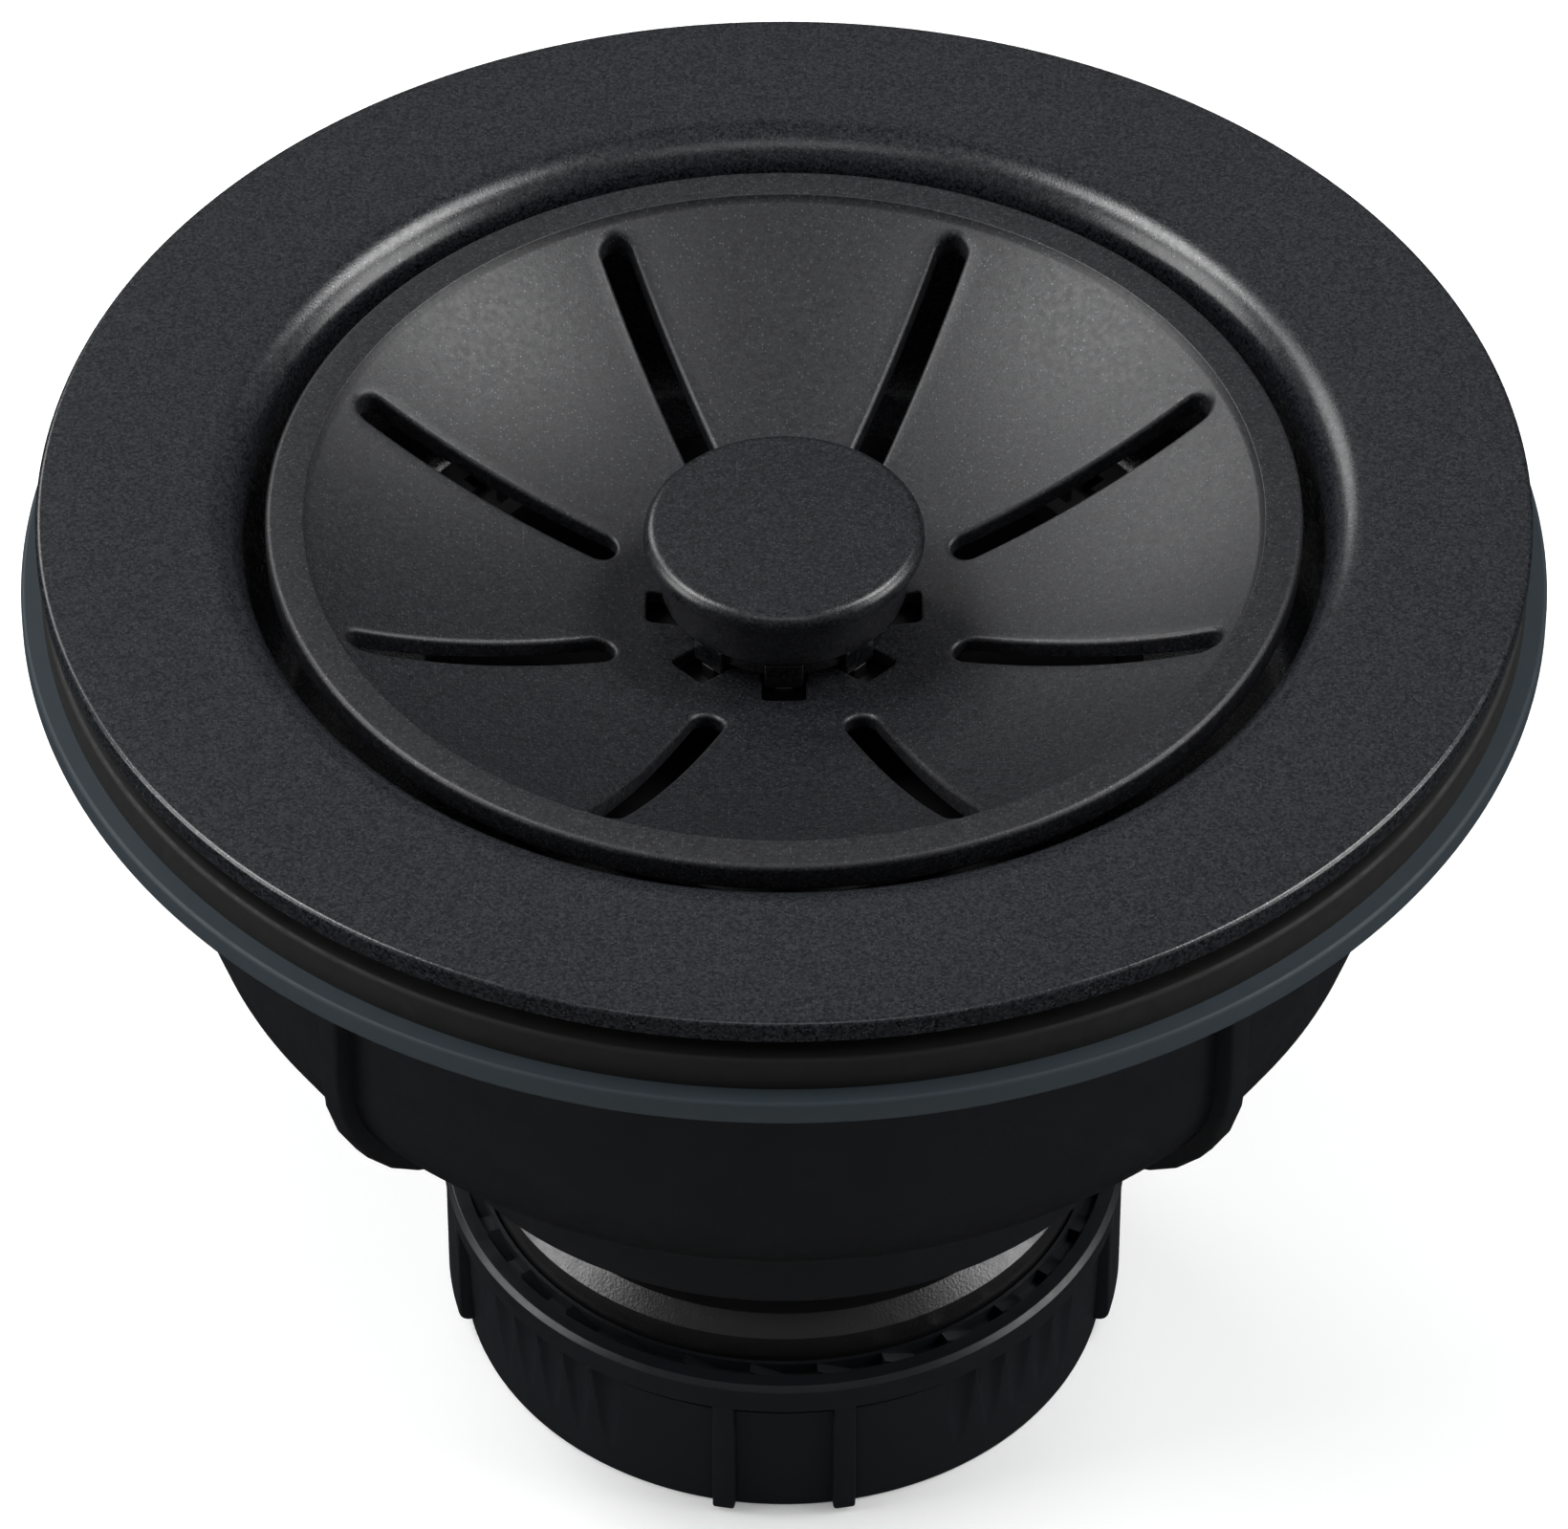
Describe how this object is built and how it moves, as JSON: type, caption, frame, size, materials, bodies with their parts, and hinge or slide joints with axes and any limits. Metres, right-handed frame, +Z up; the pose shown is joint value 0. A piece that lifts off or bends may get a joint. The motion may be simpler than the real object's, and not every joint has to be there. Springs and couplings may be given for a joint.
{
  "type": "sink basket strainer drain",
  "caption": "Round sink drain with a dark coated flange, a slotted dished strainer with a central knob, a flanged plastic bowl and a union nut below.",
  "frame": {"origin": "centre of the union nut's lower face, on which the drain stands", "axes": "+Z up along the drain's axis, towards the strainer; the front is -Y"},
  "size_m": [0.1172, 0.1172, 0.0861],
  "materials": {
    "flange_coat": "satin speckled anthracite coat",
    "strainer_coat": "satin speckled anthracite coat",
    "knob_coat": "satin speckled anthracite coat",
    "foam_seal": "closed-cell foam",
    "gasket_rubber": "matte grey-brown",
    "black_rubber": "matte",
    "bowl_plastic": "fine satin, blue-black",
    "nut_plastic": "fine satin, blue-black",
    "ring_plastic": "satin dark grey, fine grain",
    "guide_plastic": "satin dark grey",
    "bearing_plastic": "satin off-white",
    "screw_steel": "black finished",
    "stem_steel": "satin",
    "insert_brass": "machined"
  },
  "bodies": {
    "drain": {"sink_flange": "flange_coat", "flange_seal": "foam_seal", "clamping_gasket": "gasket_rubber", "drain_bowl": "bowl_plastic", "clamp_screws": "screw_steel", "screw_seals": "black_rubber", "threaded_inserts": "insert_brass", "guide_spider": "guide_plastic", "guide_sleeve": "bearing_plastic", "thrust_ring": "ring_plastic", "retaining_ring": "screw_steel", "outlet_washer": "black_rubber"},
    "plug": {"plug_stem": "stem_steel", "plug_tip": "guide_plastic", "stem_spacer": "bearing_plastic", "stopper_disc": "guide_plastic", "stopper_seal": "black_rubber", "stem_clip": "screw_steel"},
    "strainer": {"strainer_plate": "strainer_coat", "knob_cap": "knob_coat", "knob_collar": "knob_coat", "knob_crown": "knob_coat", "knob_bush": "bearing_plastic", "latch_ring": "guide_plastic"},
    "nut": {"union_nut": "nut_plastic", "ratchet_ring": "nut_plastic"}
  },
  "joints": [
    {"name": "strainer_lift", "type": "slide", "parent": "drain", "child": "plug", "axis": [0, 0, 1], "range_m": [-0.004, 0.06]},
    {"name": "strainer_turn", "type": "hinge", "parent": "plug", "child": "strainer", "pos_m": [0, 0, 0.08], "axis": [0, 0, 1], "continuous": true},
    {"name": "nut_turn", "type": "hinge", "parent": "drain", "child": "nut", "pos_m": [0, 0, 0.008], "axis": [0, 0, 1], "continuous": true}
  ]
}
